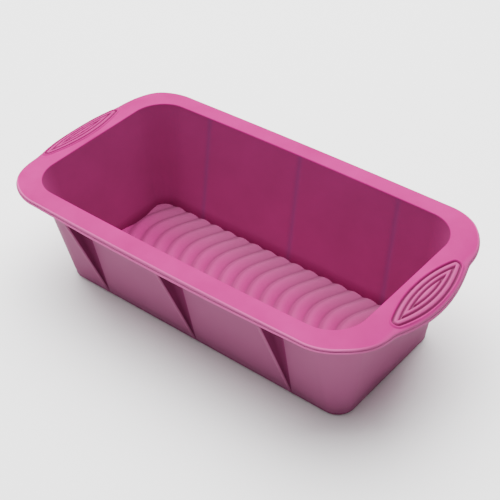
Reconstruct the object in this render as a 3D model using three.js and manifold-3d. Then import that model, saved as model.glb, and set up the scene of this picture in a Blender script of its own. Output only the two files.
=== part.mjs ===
// Silicone loaf mould for soap: a drafted rectangular tub with a flat rim, an end grip at each end
// and three thin gussets under the rim on each long side.
// Millimetres, +Z up. X runs along the length, Y across the width, and the base rests on z = 0.
// The mould is one moulding. It is divided here where it bends: along the feet of the long walls
// and along the root of each grip.
import * as THREE from 'three';
import Module from 'manifold-3d';
import { mergeVertices } from 'three/addons/utils/BufferGeometryUtils.js';

const wasm = await Module();
wasm.setup();

// Driving dimensions.
const HEIGHT = 74;
const RIM_THICKNESS = 4;
const WALL_THICKNESS = 2.2;
const FLOOR_THICKNESS = 2.2;
const BASE = { length: 212.6, width: 89, corner: 11 };
const OPENING = { length: 230, width: 114, corner: 21 };
const RIM = { length: 262, width: 138.6, corner: 33 };

// Wavy floor ribs: they cross the width and swing from side to side.
const RIB_HEIGHT = 2;
const RIB_PITCH = 11;
const RIB_SWING = 5.6;
const RIB_WAVELENGTH = 73.6;
const RIB_STEPS_PER_PITCH = 6;
const RIB_STEPS_ACROSS = 14;
const RIB_ROOT = 0.6;

// Where the walls and the rim are divided, and the slits that let them bend.
const CORNER_X = 92;
const CORNER_Y = 33;
const SIDE_SLIT = 0.3;
const FOOT_SLIT = 0.5;
const FOLD_X = 118;
const FOLD_SLIT = 1.8;

// End grips: a shallow bow beyond the rim, sloping down, with a raised lens of looped grooves.
const GRIP_REACH = 6.2;
const GRIP_HALF_WIDTH = 35;
const GRIP_DROOP = THREE.MathUtils.degToRad(12);
const PAD_X = 128;
const PAD_RISE = 0.7;
const PAD_LENS = { halfWidth: 4.9, halfLength: 27.5 };
const PAD_BORDER = 4.2;
const GROOVE_DEPTH = 0.9;
const ROUND_GROOVE = { outer: 3, inner: 1.7 };
const POINTED_GROOVES = [
  { outer: PAD_LENS, inner: { halfWidth: 3.4, halfLength: 22.9 } },
  { outer: { halfWidth: 2.15, halfLength: 18.2 }, inner: { halfWidth: 1.05, halfLength: 12.8 } },
];

// Gussets under the rim.
const GUSSET_SPACING = 71;
const GUSSET_THICKNESS = 1.8;
const GUSSET_FOOT = 3;
const GUSSET_EDGE_INSET = 0.6;
const GUSSET_EDGE_HEIGHT = 1.5;
const GUSSET_GAP = 0.2;

const CORNER_STEPS = 10;
const BOW_STEPS = 96;
const LENS_STEPS = 14;
const TIP_STEPS = 5;
const FAR = 400;
const RIM_UNDERSIDE = HEIGHT - RIM_THICKNESS;

// Closed geometry to a solid.
function solidFrom(geometry) {
  geometry.deleteAttribute('normal');
  geometry.deleteAttribute('uv');
  const merged = mergeVertices(geometry);
  return new wasm.Manifold(new wasm.Mesh({
    numProp: 3,
    vertProperties: new Float32Array(merged.attributes.position.array),
    triVerts: new Uint32Array(merged.index.array),
  }));
}

function geometryFrom(solid) {
  const mesh = solid.getMesh();
  const geometry = new THREE.BufferGeometry();
  geometry.setAttribute('position', new THREE.BufferAttribute(new Float32Array(mesh.vertProperties), 3));
  geometry.setIndex(new THREE.BufferAttribute(new Uint32Array(mesh.triVerts), 1));
  return geometry;
}

// Solid block between two opposite corners.
function block(low, high) {
  const size = high.map((value, axis) => value - low[axis]);
  const geometry = new THREE.BoxGeometry(...size);
  geometry.translate(...low.map((value, axis) => value + size[axis] / 2));
  return solidFrom(geometry);
}

// Upright prism over a flat outline, from z = bottom to z = top.
function prism(outline, bottom, top, holes = []) {
  const shape = new THREE.Shape(outline);
  shape.holes = holes.map((hole) => new THREE.Path(hole));
  const geometry = new THREE.ExtrudeGeometry(shape, { depth: top - bottom, bevelEnabled: false });
  geometry.translate(0, 0, bottom);
  return solidFrom(geometry);
}

// Points round a rounded rectangle, anticlockwise seen from above.
function roundedRectangle({ length, width, corner }) {
  const centres = [[1, 1], [-1, 1], [-1, -1], [1, -1]];
  return centres.flatMap(([signX, signY], quarter) => (
    Array.from({ length: CORNER_STEPS + 1 }, (_, step) => {
      const angle = (quarter + step / CORNER_STEPS) * Math.PI / 2;
      return new THREE.Vector2(
        signX * (length / 2 - corner) + corner * Math.cos(angle),
        signY * (width / 2 - corner) + corner * Math.sin(angle),
      );
    })
  ));
}

// Section of the drafted tub at height z, drawn in from its outer face by inset.
function tubSection(z, inset) {
  const rise = z / HEIGHT;
  const top = {
    length: OPENING.length + 2 * WALL_THICKNESS,
    width: OPENING.width + 2 * WALL_THICKNESS,
    corner: OPENING.corner + WALL_THICKNESS,
  };
  return {
    length: THREE.MathUtils.lerp(BASE.length, top.length, rise) - 2 * inset,
    width: THREE.MathUtils.lerp(BASE.width, top.width, rise) - 2 * inset,
    corner: THREE.MathUtils.lerp(BASE.corner, top.corner, rise) - inset,
  };
}

// Solid of the tub's form between two heights, drawn in by inset.
function tubForm(bottom, top, inset) {
  const rings = [bottom, top].map((z) => (
    roundedRectangle(tubSection(z, inset)).map((point) => new THREE.Vector3(point.x, point.y, z))
  ));
  const count = rings[0].length;
  const points = [...rings[0], ...rings[1], new THREE.Vector3(0, 0, bottom), new THREE.Vector3(0, 0, top)];
  const bottomCentre = 2 * count;
  const topCentre = bottomCentre + 1;
  const index = rings[0].flatMap((_, here) => {
    const next = (here + 1) % count;
    return [
      here, next, count + next,
      here, count + next, count + here,
      bottomCentre, next, here,
      topCentre, count + here, count + next,
    ];
  });
  const geometry = new THREE.BufferGeometry().setFromPoints(points);
  geometry.setIndex(index);
  return solidFrom(geometry);
}

// Rounded crests with sharp valleys, following a wave across the width.
function ribHeight(x, y) {
  const swing = -RIB_SWING * Math.sin(2 * Math.PI * y / RIB_WAVELENGTH);
  return RIB_HEIGHT * Math.abs(Math.sin(Math.PI * (x - swing) / RIB_PITCH));
}

// Ribbed block as wide as the base. Its underside is RIB_ROOT inside the floor plate.
function ribField() {
  const columns = Math.ceil(BASE.length / RIB_PITCH) * RIB_STEPS_PER_PITCH;
  const geometry = new THREE.BoxGeometry(BASE.length, BASE.width, 1, columns, RIB_STEPS_ACROSS, 1);
  const position = geometry.attributes.position;
  for (let point = 0; point < position.count; point += 1) {
    const crest = FLOOR_THICKNESS + ribHeight(position.getX(point), position.getY(point));
    position.setZ(point, position.getZ(point) > 0 ? crest : FLOOR_THICKNESS - RIB_ROOT);
  }
  return solidFrom(geometry);
}

// Flat floor plate with its ribs.
function floorPanel() {
  const plate = tubForm(0, FLOOR_THICKNESS, 0);
  const room = tubForm(0, HEIGHT, WALL_THICKNESS + SIDE_SLIT);
  return plate.add(ribField().intersect(room));
}

// Tub wall all round, from the floor plate to the underside of the rim.
function wallRing() {
  return tubForm(0, RIM_UNDERSIDE, 0).subtract(tubForm(0, HEIGHT, WALL_THICKNESS));
}

// Flat rim all round the opening, without the grips.
function rimRing() {
  const plate = prism(roundedRectangle(RIM), RIM_UNDERSIDE, HEIGHT);
  return plate.subtract(tubForm(0, HEIGHT, WALL_THICKNESS));
}

// The stretch of a ring along one long side. Side is -1 in front, 1 behind.
function longSide(ring, side, bottom) {
  const reach = CORNER_X - SIDE_SLIT;
  const edges = [side * CORNER_Y, side * FAR].sort((a, b) => a - b);
  return ring.intersect(block([-reach, edges[0], bottom], [reach, edges[1], FAR]));
}

// The stretch of a ring across one end. End is -1 on the left, 1 on the right.
function shortSide(ring, end) {
  const edges = [end * CORNER_X, end * FOLD_X].sort((a, b) => a - b);
  return ring.intersect(block([edges[0], -CORNER_Y, FLOOR_THICKNESS], [edges[1], CORNER_Y, FAR]));
}

function cornerPiece(ring, end, side) {
  const xEdges = [end * CORNER_X, end * FOLD_X].sort((a, b) => a - b);
  const yEdges = [side * CORNER_Y, side * FAR].sort((a, b) => a - b);
  return ring.intersect(block([xEdges[0], yEdges[0], FLOOR_THICKNESS], [xEdges[1], yEdges[1], FAR]));
}

// Pointed lens round the origin, long along Y, widened all round by offset so that its tips are round.
function lens({ halfWidth, halfLength }, offset) {
  const radius = (halfLength ** 2 + halfWidth ** 2) / (2 * halfWidth);
  const spread = Math.asin(halfLength / radius);
  const centre = radius - halfWidth;
  const arc = (x, y, size, from, to, steps) => (
    Array.from({ length: steps }, (_, step) => {
      const angle = THREE.MathUtils.lerp(from, to, step / steps);
      return new THREE.Vector2(x + size * Math.cos(angle), y + size * Math.sin(angle));
    })
  );
  const tipSteps = offset > 0 ? TIP_STEPS : 1;
  return [
    ...arc(-centre, 0, radius + offset, -spread, spread, LENS_STEPS),
    ...arc(0, halfLength, offset, spread, Math.PI - spread, tipSteps),
    ...arc(centre, 0, radius + offset, Math.PI - spread, Math.PI + spread, LENS_STEPS),
    ...arc(0, -halfLength, offset, Math.PI + spread, 2 * Math.PI - spread, tipSteps),
  ];
}

// Looped groove between two lens outlines, cut down from the top of the pad.
function groove(outer, inner) {
  const top = HEIGHT + PAD_RISE;
  return prism(outer, top - GROOVE_DEPTH, top + 1, [inner]).translate([PAD_X, 0, 0]);
}

function padGrooves() {
  return [
    groove(lens(PAD_LENS, ROUND_GROOVE.outer), lens(PAD_LENS, ROUND_GROOVE.inner)),
    ...POINTED_GROOVES.map(({ outer, inner }) => groove(lens(outer, 0), lens(inner, 0))),
  ];
}

// Right-hand grip: everything of the rim beyond the fold line, with its bow and pad, sloping down.
function rightGrip() {
  const radius = (GRIP_HALF_WIDTH ** 2 + GRIP_REACH ** 2) / (2 * GRIP_REACH);
  const bow = new THREE.CylinderGeometry(radius, radius, RIM_THICKNESS, BOW_STEPS);
  bow.rotateX(Math.PI / 2);
  bow.translate(RIM.length / 2 + GRIP_REACH - radius, 0, HEIGHT - RIM_THICKNESS / 2);
  const pad = prism(lens(PAD_LENS, PAD_BORDER), RIM_UNDERSIDE, HEIGHT + PAD_RISE).translate([PAD_X, 0, 0]);
  const flap = prism(roundedRectangle(RIM), RIM_UNDERSIDE, HEIGHT)
    .add(solidFrom(bow))
    .add(pad)
    .intersect(block([FOLD_X + FOLD_SLIT, -FAR, 0], [FAR, FAR, FAR]));
  const flat = padGrooves().reduce((body, cut) => body.subtract(cut), flap);
  const geometry = geometryFrom(flat);
  const root = [FOLD_X + FOLD_SLIT, 0, HEIGHT - RIM_THICKNESS / 2];
  geometry.translate(-root[0], 0, -root[2]);
  geometry.rotateY(GRIP_DROOP);
  geometry.translate(root[0], 0, root[2]);
  return geometry;
}

function mirroredInX(geometry) {
  const mirrored = geometry.clone().scale(-1, 1, 1);
  const index = mirrored.index.array;
  for (let corner = 0; corner < index.length; corner += 3) {
    [index[corner], index[corner + 1]] = [index[corner + 1], index[corner]];
  }
  return mirrored;
}

// Thin triangular web from the foot of a long wall out to the edge of the rim.
function gusset(side, x) {
  const faceAt = (z) => tubSection(z, 0).width / 2 + GUSSET_GAP;
  const edge = RIM.width / 2 - GUSSET_EDGE_INSET;
  const profile = new THREE.Shape([
    new THREE.Vector2(faceAt(GUSSET_FOOT), GUSSET_FOOT),
    new THREE.Vector2(edge, RIM_UNDERSIDE - GUSSET_EDGE_HEIGHT),
    new THREE.Vector2(edge, RIM_UNDERSIDE),
    new THREE.Vector2(faceAt(RIM_UNDERSIDE), RIM_UNDERSIDE),
  ]);
  const geometry = new THREE.ExtrudeGeometry(profile, { depth: GUSSET_THICKNESS, bevelEnabled: false });
  geometry.translate(0, 0, -GUSSET_THICKNESS / 2);
  geometry.rotateX(Math.PI / 2);
  geometry.rotateZ(side * Math.PI / 2);
  geometry.translate(x, 0, 0);
  return geometry;
}

// The whole mould is one raspberry-pink silicone.
const silicone = new THREE.MeshStandardMaterial({ color: 0xcf6aa4, roughness: 0.5, metalness: 0 });

const mould = new THREE.Group();

function place(name, shape) {
  const geometry = shape instanceof THREE.BufferGeometry ? shape : geometryFrom(shape);
  const flat = geometry.index ? geometry.toNonIndexed() : geometry;
  flat.computeVertexNormals();
  const mesh = new THREE.Mesh(flat, silicone.clone());
  mesh.name = name;
  mould.add(mesh);
}

const walls = wallRing();
const rim = rimRing();
const ends = { left: -1, right: 1 };
const sides = { front: -1, back: 1 };
const gussetPlaces = { left: -GUSSET_SPACING, centre: 0, right: GUSSET_SPACING };

place('floor_panel', floorPanel());
for (const [sideName, side] of Object.entries(sides)) {
  place(`${sideName}_wall`, longSide(walls, side, FLOOR_THICKNESS + FOOT_SLIT));
  place(`${sideName}_rim`, longSide(rim, side, RIM_UNDERSIDE));
  for (const [endName, end] of Object.entries(ends)) {
    place(`${sideName}_${endName}_corner_wall`, cornerPiece(walls, end, side));
    place(`${sideName}_${endName}_rim_corner`, cornerPiece(rim, end, side));
  }
  for (const [placeName, x] of Object.entries(gussetPlaces)) {
    place(`${sideName}_${placeName}_gusset`, gusset(side, x));
  }
}
for (const [endName, end] of Object.entries(ends)) {
  place(`${endName}_end_wall`, shortSide(walls, end));
  place(`${endName}_end_rim`, shortSide(rim, end));
}
const grip = rightGrip();
place('right_grip', grip);
place('left_grip', mirroredInX(grip));

export default mould;
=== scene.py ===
import math

import bmesh
import bpy
import numpy as np
from mathutils import Matrix, Vector


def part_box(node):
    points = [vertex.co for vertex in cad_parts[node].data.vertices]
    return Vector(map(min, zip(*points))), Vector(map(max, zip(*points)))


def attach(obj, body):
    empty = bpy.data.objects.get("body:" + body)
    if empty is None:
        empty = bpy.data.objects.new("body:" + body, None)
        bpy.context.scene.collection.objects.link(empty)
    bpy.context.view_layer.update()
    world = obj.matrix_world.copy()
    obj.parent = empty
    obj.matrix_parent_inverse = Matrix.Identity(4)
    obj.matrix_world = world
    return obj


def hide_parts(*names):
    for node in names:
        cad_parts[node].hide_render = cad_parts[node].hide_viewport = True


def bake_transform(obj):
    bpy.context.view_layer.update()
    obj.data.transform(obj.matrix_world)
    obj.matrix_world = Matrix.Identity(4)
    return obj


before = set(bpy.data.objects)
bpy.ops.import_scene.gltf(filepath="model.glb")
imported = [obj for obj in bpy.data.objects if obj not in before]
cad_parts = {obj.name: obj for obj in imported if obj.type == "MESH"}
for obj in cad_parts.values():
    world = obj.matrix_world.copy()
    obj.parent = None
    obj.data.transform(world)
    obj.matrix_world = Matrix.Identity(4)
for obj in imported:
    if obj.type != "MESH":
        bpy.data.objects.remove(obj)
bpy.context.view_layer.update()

MM = 0.001
TOLERANCE = 1e-6

# Sizes read from the frame.
RIM_LOW, RIM_HIGH = (np.array(corner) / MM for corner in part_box("front_rim"))
END_HIGH = np.array(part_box("right_end_rim")[1]) / MM
GRIP_HIGH = np.array(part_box("right_grip")[1]) / MM
GUSSET_LOW, GUSSET_HIGH = (np.array(corner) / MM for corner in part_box("front_right_gusset"))
HEIGHT = RIM_HIGH[2]
RIM_HALF_WIDTH = -RIM_LOW[1]
FOLD_X = END_HIGH[0]
TIP_X = GRIP_HIGH[0]
GUSSET_X = (GUSSET_LOW[0] + GUSSET_HIGH[0]) / 2
GUSSET_PLACES = (-GUSSET_X, 0.0, GUSSET_X)

# Driving dimensions of the tub. Halves are measured from the middle along X and Y.
WALL = 2.2
FLOOR = 2.2
BASE_HALF = (106.3, 44.5)
BASE_CORNER = 11.0
BASE_EDGE = 2.0
OPENING_HALF = (115.0, 57.0)
OPENING_CORNER = 21.0
RIM_HALF = (131.0, RIM_HALF_WIDTH)
RIM_CORNER = 33.0

# Where the pieces meet: the foot and the top seam of the walls, and the seam of a side with its end.
# Faces out of sight close at HIDDEN_Z, inside the floor, on lids in its middle.
FOOT_Z = 2.45
SEAM_Z = 66.0
RIM_FROM_Z = SEAM_Z + 1
SEAM_X = 86.0
TONGUE_DEPTH = 0.9
TONGUE_HALF = 0.5
WALL_ROWS = 9
HIDDEN_Z = 1.2
LID_INSET = WALL + 20
LID_CORNER = 3
UNDER_INSET = 8

# The long sides bow outwards, and the rim droops towards its edge, its ends and its corners.
BOW = 1.0
BOW_END_X = SEAM_X + 8
LONG_SIDE_Y = BASE_HALF[1] - 4
SIDE_DROOP = 0.0062
END_DROOP = 0.0118
CORNER_DROOP = 0.020
DROOP_SPREAD = 69.0
DROOP_START_X = 117.0
DROOP_START_Y = 59.0

# Section of the rim. A drop is measured down from its top and an out beyond its outer edge;
# a row of the crease has an out, a drop and a share of the crease's shade.
INNER_EDGE = 0.8
OUTER_EDGE = 1.1
WALL_TOP_ROWS = (68.5, 71.0)
INNER_BAND = (0.07, 0.2)
TOP_BAND = (0.22, 0.925)
CREASE_ROWS = ((0.0, 1.5, 0.0), (-0.06, 2.0, 0.0), (-0.28, 2.2, 1.0), (-0.28, 2.4, 1.0))
LIP_ROWS = ((0.1, 2.55), (0.4, 2.75), (0.5, 3.1), (0.5, 3.6), (0.4, 4.0), (0.22, 4.25),
            (0.0, 4.36), (-0.5, 4.38), (-1.6, 4.3), (-2.6, 4.15))
LIP_HIGHLIGHT_DROP = 3.8
RIM_UNDERSIDE = 4.1
UNDERSIDE_SHARES = (0.7, 0.5, 0.33)
RIM_FILLET = 1.3
FILLET_DRAFT = (0.14, 0.17)

# The rim is thinner towards its four corners.
RIM_DEPTH = 4.4
RIM_SCALE = 0.93
RIM_THINNING = 0.33
THINNING_X = (30, 112)
THINNING_Y = (4, 42)

# Stations round the mould. CORNER_LEAD holds shares of the way from a side's seam to the corner, and
# END_LEAD is roughly the length from the straight stretch of the end to the corner.
SIDE_STEPS = 36
BESIDE_REACH = 4.0
BESIDE_STEP = 0.5
LEAST_GAP = 0.3
CORNER_LEAD = (0, 0.25, 0.5, 0.75)
END_STRAIGHT = 26.0
END_LEAD = 10
CORNER_START_DEGREES = 2
CORNER_START_LENGTH = 1.2

# Bowed edge of the grips.
GRIP_REACH = TIP_X - RIM_HALF[0]
GRIP_HALF_WIDTH = 35.0
GRIP_RADIUS = (GRIP_HALF_WIDTH ** 2 + GRIP_REACH ** 2) / (2 * GRIP_REACH)
GRIP_BLEND = 0.8
GRIP_FULL_X = RIM_HALF[0] - 1.2

# Looped pad on each grip: offsets are measured outwards from the pointed lens.
PAD_X = 127.8
LENS_HALF_WIDTH = 4.9
LENS_HALF_LENGTH = 27.5
LENS_RADIUS = (LENS_HALF_LENGTH ** 2 + LENS_HALF_WIDTH ** 2) / (2 * LENS_HALF_WIDTH)
PAD_EDGE = 4.2
PAD_EDGE_BLEND = (0.45, 0.25)
PAD_RISE = 0.7
PAD_GROOVES = [(1.85, 2.85), (-1.3, -0.3), (-3.8, -2.9)]
GROOVE_DEPTH = 1.4
GROOVE_FLANK = 0.22
SHOULDER_DROP = 0.25
SHOULDER_REACH = 0.95
SKIRT_BLEND = 1.5
SKIRT_START = 3

# Wavy ribs of the floor. Places across a rib run from 0 at one valley to 1 at the next.
RIB_HEIGHT = 2.0
RIB_PITCH = 11.0
RIB_SWING = 5.6
RIB_WAVELENGTH = 73.6
RIB_LOWERING = 0.4
RIB_LOWERING_Y = (33, 43)
RIB_BAND = (0.26, 0.2)
RIB_SHEEN_Y = (5, 42)
VALLEY_WIDTH = 0.065
VALLEY_SHOULDER = (0.17, 0.12)
VALLEY_FRONT_Y = (15, -40)
RIB_COLUMNS = 431
RIB_ROWS = 65
CORNER_COLUMNS = 13

# Shallow sink marks inside the long walls, opposite the gussets.
SINK_DEPTH = 0.18
SINK_SPREAD = 1.9
SINK_FADE_LOW = (4, 12)
SINK_FADE_HIGH = (HEIGHT - 9, HEIGHT - 2)

# Gussets: thin webs from the base to the edge of the rim, flared where they meet it.
GUSSET_HALF = 0.95
GUSSET_FOOT = 1.2
GUSSET_INSET = 0.1
GUSSET_BURIED = 0.5
GUSSET_OVERLAP = 0.1
GUSSET_LOWER_Z = (2.2, 60)
GUSSET_UPPER_Z = 61.5
GUSSET_ROWS = (24, 18)
GUSSET_SLOPE_Z = (2.6, 69.3)
GUSSET_LEAST_DEPTH = 0.3
GUSSET_LEAST_FLAT = 0.05
FILLET_REACH = 4.6
FILLET_OUT = 3.2
FILLET_FULL_DEPTH = 9
FLARE_REACH = 1.1
FLARE_HEIGHT = 1.6
NOSE_FLARE = 0.8
NOSE_MARGIN = 0.02

CRISP_ANGLE = math.radians(62)

# Colours in linear light.
PINK_DEEP = (0.285, 0.006, 0.118)
PINK_PALE = (0.335, 0.009, 0.146)
# Painted shade of the sink marks.
SINK_SHADE_TINT = (0.19, 0.022, 0.15)
# Painted sheen: a greyer mauve standing in for light reflected off the silicone.
SHEEN_TINT = (0.26, 0.072, 0.155)
# Painted highlight on rounded edges, the lip and the pads.
HIGHLIGHT_TINT = (0.56, 0.085, 0.30)
SHADE = (0.065, 0.020, 0.036)

# How far each place goes towards one of those colours, from 0 to 1: painted shade of the sink marks,
# painted sheen, painted highlight and painted shade.
SINK_SHADE_STRENGTH = 0.65
INNER_SHEEN = 0.38
EDGE_SHEEN = 0.85
EDGE_HIGHLIGHT = 0.3
GRIP_EDGE_HIGHLIGHT = 0.25
LIP_HIGHLIGHT = 0.7
RIB_SHEEN = 0.18
RIB_END_SHEEN = 0.46
RIB_BAND_SHEEN = 0.14
GROOVE_SHEEN = 0.5
GROOVE_SHADE = 0.52
PAD_SHEEN = 0.32
PAD_HIGHLIGHT = 0.15
SKIRT_PAINTED_LIGHT = 0.45
LEFT_PAD_PAINTED_LIGHT = 0.3
FLANK_SHADE = 0.75
FLANK_FADE = [0.2, 0.6, 0.9]
FLOOR_SHADE = 0.03
VALLEY_SHADE = 0.5
VALLEY_FRONT = 0.5
SHOULDER_SHADE = 0.26
CREASE_SHADE = 0.22
CREASE_FADE_X = (55, 105)
GRIP_FADE_X = (118, 131)

# Stage, light and camera, in metres and degrees; the lens and its sensor are in millimetres.
FLOOR_REACH = 3.0
FLOOR_GAP = 0.0002
PAPER_COLOUR = (0.93, 0.93, 0.93, 1)
PAPER_ROUGHNESS = 0.9
WORLD_STRENGTH = 0.32
KEY_POSITION = (-0.27, 0.3, 1.25)
KEY_AIM = (0, 0, 0.05)
KEY_SIZE = (1.8, 1.8)
KEY_WATTS = 97
CAMERA_AZIMUTH, CAMERA_ELEVATION, CAMERA_ROLL = 41.7, 39.0, -3.3
CAMERA_DISTANCE, CAMERA_ASIDE, CAMERA_BELOW = 0.6813, 0.0070, 0.0270
CAMERA_LENS = 86.2
CAMERA_SENSOR = 36


def smooth(low, high, value):
    """Share from 0 at low to 1 at high, easing in and out."""
    t = np.clip((value - low) / (high - low), 0, 1)
    return t * t * (3 - 2 * t)


# ---------------------------------------------------------------- sections

class Ring:
    """One rounded rectangle of the mould's skin and the looks along it: painted sheen, highlight and shade,
    and its sink marks.
    """

    def __init__(self, half_x, half_y, corner, z, haze=0.0, marked=0.0, bright=0.0, shade=0.0):
        self.half_x, self.half_y, self.corner, self.z = half_x, half_y, corner, z
        self.haze, self.marked, self.bright, self.shade = haze, marked, bright, shade


def tub_ring(z, inset, haze=0.0, marked=0.0):
    """Ring of the drafted tub at height z, drawn in from the outer face by inset."""
    rise = z / HEIGHT
    half_x = BASE_HALF[0] + (OPENING_HALF[0] + WALL - BASE_HALF[0]) * rise
    half_y = BASE_HALF[1] + (OPENING_HALF[1] + WALL - BASE_HALF[1]) * rise
    corner = BASE_CORNER + (OPENING_CORNER + WALL - BASE_CORNER) * rise
    return Ring(half_x - inset, half_y - inset, corner - inset, z, haze, marked)


def rim_ring(share, z, out=0.0, haze=0.0, bright=0.0, shade=0.0):
    """Ring on the rim: share 0 is the opening's edge and 1 the outer edge, then moved out."""
    half = [low + (high - low) * share + out for low, high in zip(OPENING_HALF, RIM_HALF)]
    corner = OPENING_CORNER + (RIM_CORNER - OPENING_CORNER) * share + out
    return Ring(half[0], half[1], corner, z, haze, 0.0, bright, shade)


def rim_top(rows_across):
    """Rings of the rim from the top of the inner wall, over the inner edge, to the outer edge."""
    edge_z = HEIGHT - INNER_EDGE
    # The inner wall's rows carry part painted sheen and the sink marks.
    rings = [tub_ring(z, WALL, INNER_SHEEN, 1.0) for z in (SEAM_Z, *WALL_TOP_ROWS, edge_z)]
    start = tub_ring(edge_z, WALL)
    for turn in np.radians([22.5, 45, 67.5, 90]):
        out = INNER_EDGE * (1 - math.cos(turn))
        z = edge_z + INNER_EDGE * math.sin(turn)
        rings.append(Ring(start.half_x + out, start.half_y + out, start.corner + out, z))
    shares = np.concatenate([np.linspace(*INNER_BAND, 4), np.linspace(*TOP_BAND, rows_across)])
    return rings + [rim_ring(share, HEIGHT) for share in shares]


def rim_side():
    """Rings of the rim's side face, with the crease of the parting line and the lip below it, painted sheen
    over the face, painted highlight on the edge and lip and painted shade in the crease.
    """
    rings = []
    for turn in np.radians([0, 18, 36, 54, 72, 90]):
        fall = 1 - math.cos(turn)
        out = OUTER_EDGE * (math.sin(turn) - 1)
        z = HEIGHT - OUTER_EDGE + OUTER_EDGE * math.cos(turn)
        # Painted highlight along the rounded top edge, fading down the side.
        bright = math.sin(min(2 * turn, math.pi / 2)) * (1 - (1 - EDGE_HIGHLIGHT) * fall)
        rings.append(rim_ring(1, z, out, EDGE_SHEEN * fall, bright))
    for out, drop, crease in CREASE_ROWS:
        rings.append(rim_ring(1, HEIGHT - drop, out, EDGE_SHEEN, EDGE_HIGHLIGHT * (1 - crease),
                              CREASE_SHADE * crease))
    for out, drop in LIP_ROWS:
        rings.append(rim_ring(1, HEIGHT - drop, out, EDGE_SHEEN, LIP_HIGHLIGHT * (drop < LIP_HIGHLIGHT_DROP)))
    return rings


def rim_under():
    """Rings of the rim's underside and its fillet, down the outer wall to the seam."""
    # Underside, fillet and outer wall carry full painted sheen.
    rings = [rim_ring(share, HEIGHT - RIM_UNDERSIDE, 0, 1.0) for share in UNDERSIDE_SHARES]
    wall_top = tub_ring(HEIGHT - RIM_UNDERSIDE, 0)
    for turn in np.radians([0, 22.5, 45, 67.5, 90]):
        out = RIM_FILLET * (1 - math.sin(turn))
        drop = RIM_FILLET * (1 - math.cos(turn))
        rings.append(Ring(wall_top.half_x + out - FILLET_DRAFT[0] * drop,
                          wall_top.half_y + out - FILLET_DRAFT[1] * drop,
                          wall_top.corner + out, wall_top.z - drop, 1.0))
    return rings + [tub_ring(SEAM_Z, 0, 1.0)]


def rim_profile(rows_across):
    """Closed section of the rim with the top of the wall under it."""
    return rim_top(rows_across) + rim_side() + rim_under()


def wall_profile():
    """Closed section of the wall, from a tongue under its foot to the seam under the rim."""
    heights = np.linspace(FOOT_Z, SEAM_Z, WALL_ROWS)
    # Painted sheen: part on the inner wall, full on the outer wall.
    inner = [tub_ring(z, WALL, INNER_SHEEN, 1.0) for z in heights]
    outer = [tub_ring(z, 0, 1.0) for z in heights[::-1]]
    tongue = [tub_ring(FOOT_Z - TONGUE_DEPTH, WALL / 2 + aside) for aside in (-TONGUE_HALF, TONGUE_HALF)]
    return inner + outer + tongue


# ---------------------------------------------------------------- stations

def station(x=0.0, tx=0.0, y=0.0, ty=0.0, turn=0.0):
    """Place along a ring: x and y are fixed, tx and ty follow the straight length, turn is the normal."""
    return (x, tx, y, ty, math.cos(turn), math.sin(turn))


def front_stations(x_from, x_to):
    """Stations along the front, close together beside each gusset."""
    beside = np.arange(-BESIDE_REACH, BESIDE_REACH + BESIDE_STEP / 2, BESIDE_STEP)
    near = np.concatenate([beside + x for x in GUSSET_PLACES])
    steps = np.linspace(x_from, x_to, SIDE_STEPS)
    every = np.unique(np.round(np.concatenate([steps, near]), 4))
    every = every[(every >= x_from - TOLERANCE) & (every <= x_to + TOLERANCE)]
    keep = [every[0]]
    for x in every[1:]:
        if x - keep[-1] > LEAST_GAP or x == every[-1]:
            keep.append(x)
    return [station(x=x, ty=-1, turn=-math.pi / 2) for x in keep]


def end_stations(corner_steps, end_step):
    """Stations round the right end, from the front seam to the back seam."""
    straight = np.linspace(-END_STRAIGHT, END_STRAIGHT, int(round(2 * END_STRAIGHT / end_step)) + 1)
    lead = np.linspace(0, 1, int(round(END_LEAD / end_step)) + 1)[1:]
    start_steps = max(int(round(CORNER_START_LENGTH / end_step)), 1)
    start = np.radians(np.linspace(0, CORNER_START_DEGREES, start_steps + 1))
    quarter = np.concatenate([start, np.linspace(start[-1], math.pi / 2, corner_steps + 1)[1:]])
    places = [station(x=SEAM_X * (1 - share), tx=share, ty=1, turn=math.pi / 2) for share in CORNER_LEAD]
    places += [station(tx=1, ty=1, turn=turn) for turn in quarter[::-1]]
    places += [station(tx=1, y=END_STRAIGHT * (1 - share), ty=share) for share in lead[-2::-1]]
    back = places + [station(tx=1, y=y) for y in straight[::-1] if y > 0]
    front = [(x, tx, -y, -ty, cos, -sin) for x, tx, y, ty, cos, sin in back]
    return front + [station(tx=1)] + back[::-1]


def loop_stations(corner_steps):
    """Stations all the way round, one quarter turn at each corner."""
    quarter = np.linspace(0, math.pi / 2, corner_steps + 1)
    places = []
    for number, (tx, ty) in enumerate(((1, 1), (-1, 1), (-1, -1), (1, -1))):
        places += [station(tx=tx, ty=ty, turn=number * math.pi / 2 + turn) for turn in quarter]
    return places


def skin_points(profile, places):
    """Points of every ring at every station, as an array of station, ring, xyz."""
    x_fixed, tx, y_fixed, ty, cos, sin = np.moveaxis(np.array(places)[:, None, :], -1, 0)
    half_x, half_y, corner, z = (np.array([getattr(ring, key) for ring in profile])[None, :]
                                 for key in ("half_x", "half_y", "corner", "z"))
    x = x_fixed + tx * (half_x - corner) + cos * corner
    y = y_fixed + ty * (half_y - corner) + sin * corner
    return np.stack([x, y, np.broadcast_to(z, x.shape)], axis=-1)


# ---------------------------------------------------------------- form

def lens_offset(x, y):
    """Distance outside the pad's pointed lens, negative inside it."""
    centre = LENS_RADIUS - LENS_HALF_WIDTH
    spread = math.asin(LENS_HALF_LENGTH / LENS_RADIUS)
    side = np.abs(x)
    along = np.abs(y)
    arc = np.hypot(side + centre, along) - LENS_RADIUS
    beyond = np.arctan2(along, side + centre) > spread
    return np.where(beyond, np.hypot(side, along - LENS_HALF_LENGTH), arc)


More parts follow.
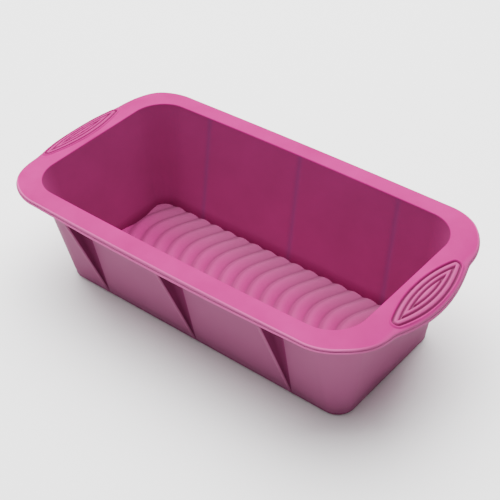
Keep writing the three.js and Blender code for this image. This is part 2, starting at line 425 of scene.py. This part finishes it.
def pad_form(x, y):
    """Height of the looped pad above the rim, then two shares: how deep in a groove, and how much painted
    sheen and highlight the pad gets.
    """
    offset = lens_offset(x, y)
    groove = sum(smooth(low - GROOVE_FLANK, low + GROOVE_FLANK, offset)
                 - smooth(high - GROOVE_FLANK, high + GROOVE_FLANK, offset) for low, high in PAD_GROOVES)
    shoulder = sum(smooth(low - SHOULDER_REACH, low, offset)
                   - smooth(high, high + SHOULDER_REACH, offset) for low, high in PAD_GROOVES)
    height = PAD_RISE * (1 - smooth(PAD_EDGE - PAD_EDGE_BLEND[0], PAD_EDGE + PAD_EDGE_BLEND[1], offset))
    outer_groove = PAD_GROOVES[0]
    skirt = smooth(outer_groove[1], outer_groove[1] + SKIRT_BLEND, offset) * smooth(0, SKIRT_START, x)
    painted_pad_light = 1 - smooth(*outer_groove, offset) + SKIRT_PAINTED_LIGHT * skirt
    return height - SHOULDER_DROP * shoulder - GROOVE_DEPTH * groove, groove, painted_pad_light


def bowed_edge(y):
    """How far the grip's edge stands out beyond the straight end of the rim."""
    reach = np.sqrt(np.maximum(GRIP_RADIUS ** 2 - y ** 2, 0)) - (GRIP_RADIUS - GRIP_REACH)
    return (reach + np.sqrt(reach ** 2 + GRIP_BLEND ** 2)) / 2


def rim_drop(x, y, drop):
    """Depth below the rim's top after thinning towards the corners; unchanged from the seam down."""
    scale = RIM_SCALE - RIM_THINNING * smooth(*THINNING_X, np.abs(x)) * smooth(*THINNING_Y, np.abs(y))
    full = HEIGHT - SEAM_Z
    below = RIM_DEPTH * scale + (drop - RIM_DEPTH) * (full - RIM_DEPTH * scale) / (full - RIM_DEPTH)
    return np.where(drop < RIM_DEPTH, drop * scale, np.where(drop < full, below, drop))


def sink_marks(x, z, on_inside):
    """Share of sink mark at each place, which sets its painted shade, and how far the mark draws the wall
    outwards.
    """
    marks = sum(np.exp(-((x - place) / SINK_SPREAD) ** 2) for place in GUSSET_PLACES) * on_inside
    fade = smooth(*SINK_FADE_LOW, z) * (1 - smooth(*SINK_FADE_HIGH, z))
    return marks, SINK_DEPTH * marks * fade


def rim_droop(x, y):
    """How far the rim hangs below flat, more towards the ends, the corners and the long edges."""
    toward_corner = 1 - np.exp(-(y / DROOP_SPREAD) ** 4)
    end_droop = END_DROOP + (CORNER_DROOP - END_DROOP) * toward_corner
    droop = end_droop * np.maximum(np.abs(x) - DROOP_START_X, 0) ** 2
    return droop + SIDE_DROOP * np.maximum(np.abs(y) - DROOP_START_Y, 0) ** 2


def shape_mould(points, marked):
    """Thins the corners, bows the long sides, droops the grips, raises their pads and sinks the marks.

    Returns the points and, for each, its share of sink mark, groove and painted pad sheen and highlight."""
    x, y, z = points[..., 0], points[..., 1], points[..., 2]
    side = np.sign(y)
    rim = z > RIM_FROM_Z
    out = np.clip((np.abs(x) - FOLD_X) / (GRIP_FULL_X - FOLD_X), 0, 1)
    new_x = x + np.where(rim, np.sign(x) * bowed_edge(y) * out, 0)
    top = z > HEIGHT - TOLERANCE
    on_grip = top & (np.abs(new_x) > FOLD_X)
    lift, groove, painted_pad_light = (np.where(on_grip, form, 0) for form in pad_form(np.abs(new_x) - PAD_X, y))
    long_side = np.abs(y) > LONG_SIDE_Y
    middle = np.clip(1 - (x / BOW_END_X) ** 2, 0, 1)
    marks, sunk = sink_marks(x, z, marked * long_side)
    new_y = y + side * BOW * middle * z / HEIGHT * long_side + side * sunk
    depth = np.where(marked > 0, HEIGHT - z, rim_drop(x, y, HEIGHT - z))
    new_z = HEIGHT - depth + lift - np.where(rim, rim_droop(new_x, new_y), 0)
    return np.stack([new_x, new_y, new_z], axis=-1), marks, groove, painted_pad_light


def bow_at(x, z):
    """How far a long wall stands out of its straight line at x, at height z."""
    return BOW * max(0.0, 1 - (x / BOW_END_X) ** 2) * z / HEIGHT


def rib_phase(x, y):
    """Place across a rib, from 0 at one valley to 1 at the next."""
    swing = -RIB_SWING * np.sin(2 * math.pi * y / RIB_WAVELENGTH)
    return np.mod((x - swing) / RIB_PITCH, 1)


def rib_height(x, y):
    """Height of the ribs, a little lower where they run into the long walls."""
    lowered = 1 - RIB_LOWERING * smooth(*RIB_LOWERING_Y, np.abs(y))
    return RIB_HEIGHT * np.sin(math.pi * rib_phase(x, y)) * lowered


def rib_haze(x, y):
    """Painted sheen on the ribs, stronger along one shoulder and towards the long walls."""
    place, width = RIB_BAND
    band = np.exp(-((rib_phase(x, y) - place) / width) ** 2)
    return RIB_SHEEN + RIB_BAND_SHEEN * band + RIB_END_SHEEN * smooth(*RIB_SHEEN_Y, np.abs(y))


def rib_shade(x, y):
    """Dark line down each valley, a softer one beside it and a faint shade on the whole floor."""
    phase = rib_phase(x, y)
    place, width = VALLEY_SHOULDER
    valley = np.exp(-(np.minimum(phase, 1 - phase) / VALLEY_WIDTH) ** 2)
    shoulder = np.exp(-((phase - place) / width) ** 2)
    toward_front = 1 + VALLEY_FRONT * smooth(*VALLEY_FRONT_Y, y)
    return (FLOOR_SHADE + VALLEY_SHADE * toward_front * valley
            + SHOULDER_SHADE * shoulder * (1 - valley))


# ---------------------------------------------------------------- meshes

def link(piece):
    """The object, put into the scene."""
    bpy.context.scene.collection.objects.link(piece)
    return piece


def make_piece(name, points, faces, flat_faces=(), **looks):
    """Piece from points in millimetres; all but flat_faces are smooth, and looks are values per point."""
    mesh = bpy.data.meshes.new(name)
    every = list(faces) + list(flat_faces)
    mesh.from_pydata((np.asarray(points) * MM).tolist(), [], every)
    smooth_flags = np.ones(len(every), bool)
    smooth_flags[len(faces):] = False
    mesh.polygons.foreach_set("use_smooth", smooth_flags)
    for layer_name in ("sink_mark", "haze", "bright", "shade"):
        layer = mesh.attributes.new(layer_name, "FLOAT", "POINT")
        if layer_name in looks:
            layer.data.foreach_set("value", np.asarray(looks[layer_name], np.float32).ravel())
    return link(bpy.data.objects.new(name, mesh))


def skin_looks(profile, points, groove, painted_pad_light):
    """Painted sheen, painted highlight and painted shade of a swept skin: the rings' own, with those of the
    pads and the crease.
    """
    along = np.abs(points[..., 0])
    before_grips = 1 - smooth(*GRIP_FADE_X, along)
    pad_haze = np.maximum(groove * GROOVE_SHEEN, painted_pad_light * PAD_SHEEN)
    crease = np.array([ring.shade for ring in profile]) * smooth(*CREASE_FADE_X, along) * before_grips
    edge_fade = GRIP_EDGE_HIGHLIGHT + (1 - GRIP_EDGE_HIGHLIGHT) * before_grips
    edge_highlight = np.array([ring.bright for ring in profile]) * edge_fade
    return {"haze": np.maximum([ring.haze for ring in profile], pad_haze),
            "bright": np.maximum(edge_highlight, painted_pad_light * PAD_HIGHLIGHT),
            "shade": np.maximum(groove * GROOVE_SHADE, crease)}


def sweep(name, profile, places, turned=False):
    """Closed piece: the profile carried past the stations, with flat ends.

    A turned piece goes half round in plan, from the right to the left or from the front to the back."""
    marked = np.array([ring.marked for ring in profile])
    points, marks, groove, painted_pad_light = shape_mould(skin_points(profile, places), marked)
    if turned:
        points = points * (-1, -1, 1)
        # The left pad gets less painted sheen and highlight.
        painted_pad_light = painted_pad_light * LEFT_PAD_PAINTED_LIGHT
    looks = skin_looks(profile, points, groove, painted_pad_light)
    count, rows = points.shape[:2]
    here = np.arange((count - 1) * rows).reshape(count - 1, rows)
    up = np.roll(here, -1, axis=1)
    quads = np.stack([here, here + rows, up + rows, up], axis=-1).reshape(-1, 4)
    last = (count - 1) * rows
    ends = [list(range(rows)), [last + row for row in reversed(range(rows))]]
    return make_piece(name, points.reshape(-1, 3), quads.tolist(), ends, sink_mark=marks, **looks)


def settle(mesh, shell=None):
    """Turns every face outwards and keeps the corners of the section crisp."""
    if shell is None:
        shell = bmesh.new()
        shell.from_mesh(mesh)
    bmesh.ops.recalc_face_normals(shell, faces=shell.faces)
    shell.to_mesh(mesh)
    shell.free()
    mesh.set_sharp_from_angle(angle=CRISP_ANGLE)


def cut_at(piece, name, x, keep_outside):
    """Copy of the piece on one side of the plane at x, with the cut closed by a flat face."""
    side = 1 if x > 0 else -1
    shell = bmesh.new()
    shell.from_mesh(piece.data)
    found = bmesh.ops.bisect_plane(
        shell, geom=shell.verts[:] + shell.edges[:] + shell.faces[:], dist=1e-7,
        plane_co=(x * MM, 0, 0), plane_no=(side, 0, 0),
        clear_inner=keep_outside, clear_outer=not keep_outside)
    rim_edges = [e for e in found["geom_cut"] if isinstance(e, bmesh.types.BMEdge) and e.is_boundary]
    made = bmesh.ops.contextual_create(shell, geom=rim_edges)
    for face in made["faces"]:
        face.smooth = False
    mesh = bpy.data.meshes.new(name)
    settle(mesh, shell)
    return link(bpy.data.objects.new(name, mesh))


def disc_skin(name, rings, places):
    """Closed piece from rings that run from the upper middle, out and down to the lower middle."""
    points = skin_points(rings, places)
    count, rows = points.shape[:2]
    here = np.arange(count * rows).reshape(count, rows)
    ahead = np.roll(here, -1, axis=0)
    quads = np.stack([here[:, :-1], here[:, 1:], ahead[:, 1:], ahead[:, :-1]], axis=-1).reshape(-1, 4)
    lids = [here[:, 0].tolist(), here[::-1, -1].tolist()]
    # Painted sheen of each ring, the same all round.
    haze = np.broadcast_to([ring.haze for ring in rings], points.shape[:2])
    piece = make_piece(name, points.reshape(-1, 3), quads.tolist(), lids, haze=haze)
    settle(piece.data)
    return piece


# ---------------------------------------------------------------- pieces

def base_tray():
    """Flat underside with its rounded edge, up to the foot of the walls."""
    edge = tub_ring(BASE_EDGE, 0)
    # Rings on the outer face carry full painted sheen.
    rings = [tub_ring(HIDDEN_Z, LID_INSET), tub_ring(HIDDEN_Z, WALL / 2), tub_ring(FOOT_Z, WALL / 2),
             tub_ring(FOOT_Z, 0, 1.0), tub_ring(BASE_EDGE, 0, 1.0)]
    for turn in np.radians([18, 36, 54, 72, 90]):
        out = -BASE_EDGE * (1 - math.cos(turn))
        rings.append(Ring(edge.half_x + out, edge.half_y + out, edge.corner + out,
                          BASE_EDGE * (1 - math.sin(turn)), 1.0))
    rings += [tub_ring(0, UNDER_INSET, 1.0), tub_ring(0, LID_INSET, 1.0)]
    for ring in (rings[0], rings[-2], rings[-1]):
        ring.corner = LID_CORNER
    return disc_skin("base_tray", rings, loop_stations(corner_steps=16))


def rib_grid():
    """Places of the floor's points: columns along the length, their rows closing in at the corners."""
    foot = tub_ring(FOOT_Z, WALL / 2)
    straight = foot.half_x - foot.corner
    bend = np.sin(np.linspace(0, math.pi / 2, CORNER_COLUMNS))[1:] * foot.corner
    columns = np.linspace(-straight, straight, RIB_COLUMNS)
    xs = np.concatenate([-straight - bend[::-1], columns, straight + bend])
    past = np.maximum(np.abs(xs) - straight, 0)
    reach = foot.half_y - foot.corner + np.sqrt(np.maximum(foot.corner ** 2 - past ** 2, 0))
    x = np.repeat(xs[:, None], RIB_ROWS, axis=1)
    y = reach[:, None] * np.linspace(-1, 1, RIB_ROWS)[None, :]
    return x, y


def floor_ribs():
    """Ribbed floor with its edge buried in the foot of the walls."""
    x, y = rib_grid()
    top = np.stack([x, y, FLOOR + rib_height(x, y)], axis=-1)
    count, rows = top.shape[:2]
    here = np.arange(count * rows).reshape(count, rows)
    quads = np.stack([here[:-1, :-1], here[1:, :-1], here[1:, 1:], here[:-1, 1:]], axis=-1).reshape(-1, 4)
    border = np.concatenate([here[:, 0], here[-1, 1:], here[-2::-1, -1], here[0, -2:0:-1]])
    low = top.reshape(-1, 3)[border].copy()
    low[:, 2] = HIDDEN_Z
    low_index = count * rows + np.arange(len(border))
    skirt = np.stack([border, low_index, np.roll(low_index, -1), np.roll(border, -1)], axis=-1)
    points = np.concatenate([top.reshape(-1, 3), low])
    flat = skirt.tolist() + [low_index[::-1].tolist()]
    # Painted sheen and painted shade of the ribs; the hidden skirt gets none.
    plain = np.zeros(len(low))
    haze = np.concatenate([rib_haze(x, y).ravel(), plain])
    shade = np.concatenate([rib_shade(x, y).ravel(), plain])
    piece = make_piece("floor_ribs", points, quads.tolist(), flat, haze=haze, shade=shade)
    settle(piece.data)
    return piece


def gusset_section(z, under_rim):
    """Half flank, from the wall outwards, and round nose of a gusset at height z, as width and out."""
    face = tub_ring(z, 0).half_y
    low, high = GUSSET_SLOPE_Z
    slope = np.clip((z - low) / (high - low), 0, 1)
    tip = BASE_HALF[1] + GUSSET_FOOT + (RIM_HALF_WIDTH - GUSSET_INSET - BASE_HALF[1] - GUSSET_FOOT) * slope
    depth = max(tip - face, GUSSET_LEAST_DEPTH)
    flat = max(depth - GUSSET_HALF, GUSSET_LEAST_FLAT)
    flare = FLARE_REACH * max(0.0, 1 - (under_rim - z) / FLARE_HEIGHT) ** 2
    reach = FILLET_REACH * min(1, depth / FILLET_FULL_DEPTH)
    fillet = FILLET_OUT * min(1, depth / FILLET_FULL_DEPTH)
    flank = [(GUSSET_HALF + reach + flare, face - GUSSET_BURIED)]
    for turn in np.radians([2, 18, 36, 54, 72, 90]):
        flank.append((GUSSET_HALF + reach * (1 - math.sin(turn)) + flare,
                      face + min(fillet * (1 - math.cos(turn)), flat)))
    start = min(fillet, flat)
    for share in (0.25, 0.5, 0.75, 0.95):
        flank.append((GUSSET_HALF + flare, face + start + share * max(depth - GUSSET_HALF - start, 0)))
    nose = [((GUSSET_HALF + flare * NOSE_FLARE) * math.sin(turn),
             max(tip - GUSSET_HALF + GUSSET_HALF * math.cos(turn), face - GUSSET_BURIED + NOSE_MARGIN))
            for turn in np.radians(np.linspace(90, -90, 9))]
    return flank, nose


def gusset(name, x, side):
    """Thin web under the rim with a round outer edge and fillets along the wall and the rim."""
    under_rim = HEIGHT - float(rim_drop(x, RIM_HALF_WIDTH, RIM_UNDERSIDE)) + GUSSET_OVERLAP
    levels = np.concatenate([np.linspace(*GUSSET_LOWER_Z, GUSSET_ROWS[0]),
                             np.linspace(GUSSET_UPPER_Z, under_rim, GUSSET_ROWS[1])])
    rows, haze, shade = [], [], []
    for z in levels:
        flank, nose = gusset_section(z, under_rim)
        loop = flank + nose + [(-width, out) for width, out in reversed(flank)]
        rows.append([(x + width, side * (out + bow_at(x, z)),
                      z - SIDE_DROOP * max(out - DROOP_START_Y, 0) ** 2) for width, out in loop])
        # Painted shade on the flanks and their fillets, painted sheen on the nose, fading between them.
        flank_shade = FLANK_FADE + [1.0] * (len(flank) - len(FLANK_FADE))
        loop_shade = flank_shade + [0.0] * len(nose) + flank_shade[::-1]
        shade.append([FLANK_SHADE * share for share in loop_shade])
        haze.append([1 - share for share in loop_shade])
    points = np.array(rows)
    count, round_loop = points.shape[:2]
    here = np.arange((count - 1) * round_loop).reshape(count - 1, round_loop)
    ahead = np.roll(here, -1, axis=1)
    quads = np.stack([here, ahead, ahead + round_loop, here + round_loop], axis=-1).reshape(-1, 4)
    last = (count - 1) * round_loop
    lids = [list(range(round_loop)), list(range(last, last + round_loop))]
    piece = make_piece(name, points.reshape(-1, 3), quads.tolist(), lids, haze=haze, shade=shade)
    settle(piece.data)
    return piece


# ---------------------------------------------------------------- material

def silicone_material():
    """Satin pink silicone: faint mottling, a fine moulded grain, and the painted shade, sheen and highlight
    drawn on the pieces.
    """
    material = bpy.data.materials.new("pink_silicone")
    material.use_nodes = True
    tree = material.node_tree
    shader = tree.nodes["Principled BSDF"]
    place = tree.nodes.new("ShaderNodeTexCoord")

    def noise(scale, detail, roughness=0.5):
        """Value of a noise texture fixed to the object."""
        texture = tree.nodes.new("ShaderNodeTexNoise")
        texture.inputs["Scale"].default_value = scale
        texture.inputs["Detail"].default_value = detail
        texture.inputs["Roughness"].default_value = roughness
        tree.links.new(place.outputs["Object"], texture.inputs["Vector"])
        return texture.outputs["Fac"]

    def mapped(value, from_min=0, from_max=1, to_min=0, to_max=1):
        """The value carried from one range to another."""
        ranges = tree.nodes.new("ShaderNodeMapRange")
        ranges.inputs["From Min"].default_value = from_min
        ranges.inputs["From Max"].default_value = from_max
        ranges.inputs["To Min"].default_value = to_min
        ranges.inputs["To Max"].default_value = to_max
        tree.links.new(value, ranges.inputs["Value"])
        return ranges.outputs["Result"]

    def drawn(layer_name):
        """Value drawn on the points of the pieces."""
        layer = tree.nodes.new("ShaderNodeAttribute")
        layer.attribute_name = layer_name
        return layer.outputs["Fac"]

    def mixed(first, second, factor):
        """Colour output that goes from first to second as factor rises.

        Inputs 6 and 7 of the node are its two colours, and output 2 is the mixed one."""
        mix = tree.nodes.new("ShaderNodeMix")
        mix.data_type = "RGBA"
        tree.links.new(factor, mix.inputs["Factor"])
        for slot_index, source in ((6, first), (7, second)):
            if isinstance(source, tuple):
                mix.inputs[slot_index].default_value = (*source, 1)
            else:
                tree.links.new(source, mix.inputs[slot_index])
        return mix.outputs[2]

    def bump(height, strength, distance):
        """Bump node that raises the surface by the height value."""
        made = tree.nodes.new("ShaderNodeBump")
        made.inputs["Strength"].default_value = strength
        made.inputs["Distance"].default_value = distance
        tree.links.new(height, made.inputs["Height"])
        return made

    mottle = mapped(noise(scale=38, detail=4, roughness=0.55), from_min=0.3, from_max=0.72)
    pink = mixed(PINK_DEEP, PINK_PALE, mottle)
    # Painted shade along the sink marks.
    sink = tree.nodes.new("ShaderNodeMath")
    sink.operation = "MULTIPLY"
    sink.inputs[1].default_value = SINK_SHADE_STRENGTH
    tree.links.new(drawn("sink_mark"), sink.inputs[0])
    colour = mixed(pink, SINK_SHADE_TINT, sink.outputs[0])
    # Painted sheen, painted highlight and painted shade, laid over the pink in turn.
    for layer_name, tint in (("haze", SHEEN_TINT), ("bright", HIGHLIGHT_TINT), ("shade", SHADE)):
        colour = mixed(colour, tint, drawn(layer_name))
    tree.links.new(colour, shader.inputs["Base Color"])
    patches = mapped(noise(scale=90, detail=3), to_min=0.40, to_max=0.52)
    tree.links.new(patches, shader.inputs["Roughness"])

    swell = bump(noise(scale=55, detail=2), strength=0.10, distance=0.0012)
    grain = bump(noise(scale=1400, detail=2), strength=0.12, distance=0.0002)
    tree.links.new(swell.outputs["Normal"], grain.inputs["Normal"])
    tree.links.new(grain.outputs["Normal"], shader.inputs["Normal"])

    shader.inputs["IOR"].default_value = 1.41
    shader.inputs["Specular IOR Level"].default_value = 0.03
    return material


# ---------------------------------------------------------------- assembly

SILICONE = silicone_material()


def finish_piece(piece, *nodes):
    """Gives the piece its material and slot, and lets it stand for the frame's nodes."""
    piece.data.materials.clear()
    piece.data.materials.append(SILICONE)
    if nodes:
        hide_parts(*nodes)


def flex_side(piece):
    """Bakes the half side's placement into its points."""
    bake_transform(piece)


def build_floor():
    """Base and ribbed floor, which both stay with the tub."""
    for piece in (base_tray(), floor_ribs()):
        finish_piece(piece, "floor_panel")
        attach(piece, "tub")


def build_sides():
    """Wall and rim of each half of each long side; a turned front half is the back's other half."""
    profiles = {"wall": wall_profile(), "rim": rim_profile(rows_across=12)}
    halves = ((-1, front_stations(-SEAM_X, 0.0)), (1, front_stations(0.0, SEAM_X)))
    for front_x_side, places in halves:
        for side_name, side, turned in (("front", -1, False), ("back", 1, True)):
            x_side = -front_x_side if turned else front_x_side
            shown = "left" if x_side < 0 else "right"
            for kind, profile in profiles.items():
                piece = sweep(f"{side_name}_{kind}_{shown}_half", profile, places, turned)
                settle(piece.data)
                finish_piece(piece, f"{side_name}_{kind}")
                flex_side(piece)


def build_ends():
    """End walls and rims with their corners, and the grips beyond the fold."""
    wall = wall_profile()
    rim = rim_profile(rows_across=80)
    wall_places = end_stations(corner_steps=20, end_step=4.0)
    rim_places = end_stations(corner_steps=26, end_step=0.4)
    for end_name, turned in (("right", False), ("left", True)):
        end = -1 if turned else 1
        wall_corners = [f"{side}_{end_name}_corner_wall" for side in ("front", "back")]
        rim_corners = [f"{side}_{end_name}_rim_corner" for side in ("front", "back")]
        piece = sweep(f"{end_name}_end_wall_with_corners", wall, wall_places, turned)
        settle(piece.data)
        finish_piece(piece, f"{end_name}_end_wall", *wall_corners)
        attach(piece, "tub")
        whole = sweep("whole_end", rim, rim_places, turned)
        inside = cut_at(whole, f"{end_name}_end_rim_with_corners", end * FOLD_X, False)
        outside = cut_at(whole, f"{end_name}_grip_skin", end * FOLD_X, True)
        bpy.data.objects.remove(whole)
        finish_piece(inside, f"{end_name}_end_rim", *rim_corners)
        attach(inside, "tub")
        finish_piece(outside, f"{end_name}_grip")
        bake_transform(outside)


def build_gussets():
    """Three gussets on each long side; the outer two are baked in place and the centre one rides its side.
    """
    for side_name, side in (("front", -1), ("back", 1)):
        for place_name, x in zip(("left", "centre", "right"), GUSSET_PLACES):
            piece = gusset(f"{side_name}_{place_name}_gusset_skin", x, side)
            finish_piece(piece, f"{side_name}_{place_name}_gusset")
            if x:
                flex_side(piece)
            else:
                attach(piece, f"{side_name}_side")


# ---------------------------------------------------------------- stage, light and camera

def build_stage():
    """Large sheet of pale paper, just under the mould."""
    reach = FLOOR_REACH
    floor_mesh = bpy.data.meshes.new("floor")
    floor_mesh.from_pydata([(-reach, -reach, 0), (reach, -reach, 0), (reach, reach, 0), (-reach, reach, 0)],
                           [], [(0, 1, 2, 3)])
    floor = link(bpy.data.objects.new("studio_floor", floor_mesh))
    floor.location.z = -FLOOR_GAP
    paper = bpy.data.materials.new("studio_paper")
    paper.use_nodes = True
    shader = paper.node_tree.nodes["Principled BSDF"]
    shader.inputs["Base Color"].default_value = PAPER_COLOUR
    shader.inputs["Roughness"].default_value = PAPER_ROUGHNESS
    floor.data.materials.append(paper)


def build_lights():
    """Even white surroundings and one large soft box overhead."""
    world = bpy.data.worlds.new("studio")
    world.use_nodes = True
    background = world.node_tree.nodes["Background"]
    background.inputs["Color"].default_value = (1, 1, 1, 1)
    background.inputs["Strength"].default_value = WORLD_STRENGTH
    bpy.context.scene.world = world
    data = bpy.data.lights.new("key_soft_box", "AREA")
    data.shape = "RECTANGLE"
    data.size, data.size_y = KEY_SIZE
    data.energy = KEY_WATTS
    light = link(bpy.data.objects.new("key_soft_box", data))
    light.location = KEY_POSITION
    aim = Vector(KEY_AIM) - Vector(KEY_POSITION)
    light.rotation_euler = aim.to_track_quat("-Z", "Y").to_euler()


def build_camera():
    """Camera off the front right corner, looking down at the rim, with a slight roll."""
    azimuth, elevation, roll = map(math.radians, (CAMERA_AZIMUTH, CAMERA_ELEVATION, CAMERA_ROLL))
    back = Vector((math.sin(azimuth) * math.cos(elevation), -math.cos(azimuth) * math.cos(elevation),
                   math.sin(elevation)))
    flat_right = Vector((math.cos(azimuth), math.sin(azimuth), 0))
    flat_up = back.cross(flat_right)
    right = flat_right * math.cos(roll) + flat_up * math.sin(roll)
    up = flat_up * math.cos(roll) - flat_right * math.sin(roll)
    data = bpy.data.cameras.new("camera")
    data.sensor_width = CAMERA_SENSOR
    data.lens = CAMERA_LENS
    camera = link(bpy.data.objects.new("camera", data))
    rim_middle = Vector((0, 0, HEIGHT * MM))
    position = rim_middle + back * CAMERA_DISTANCE + right * CAMERA_ASIDE - up * CAMERA_BELOW
    turn = Matrix((right, up, back)).transposed()
    camera.matrix_world = Matrix.Translation(position) @ turn.to_4x4()
    bpy.context.scene.camera = camera


build_floor()
build_sides()
build_ends()
build_gussets()
build_stage()
build_lights()
build_camera()
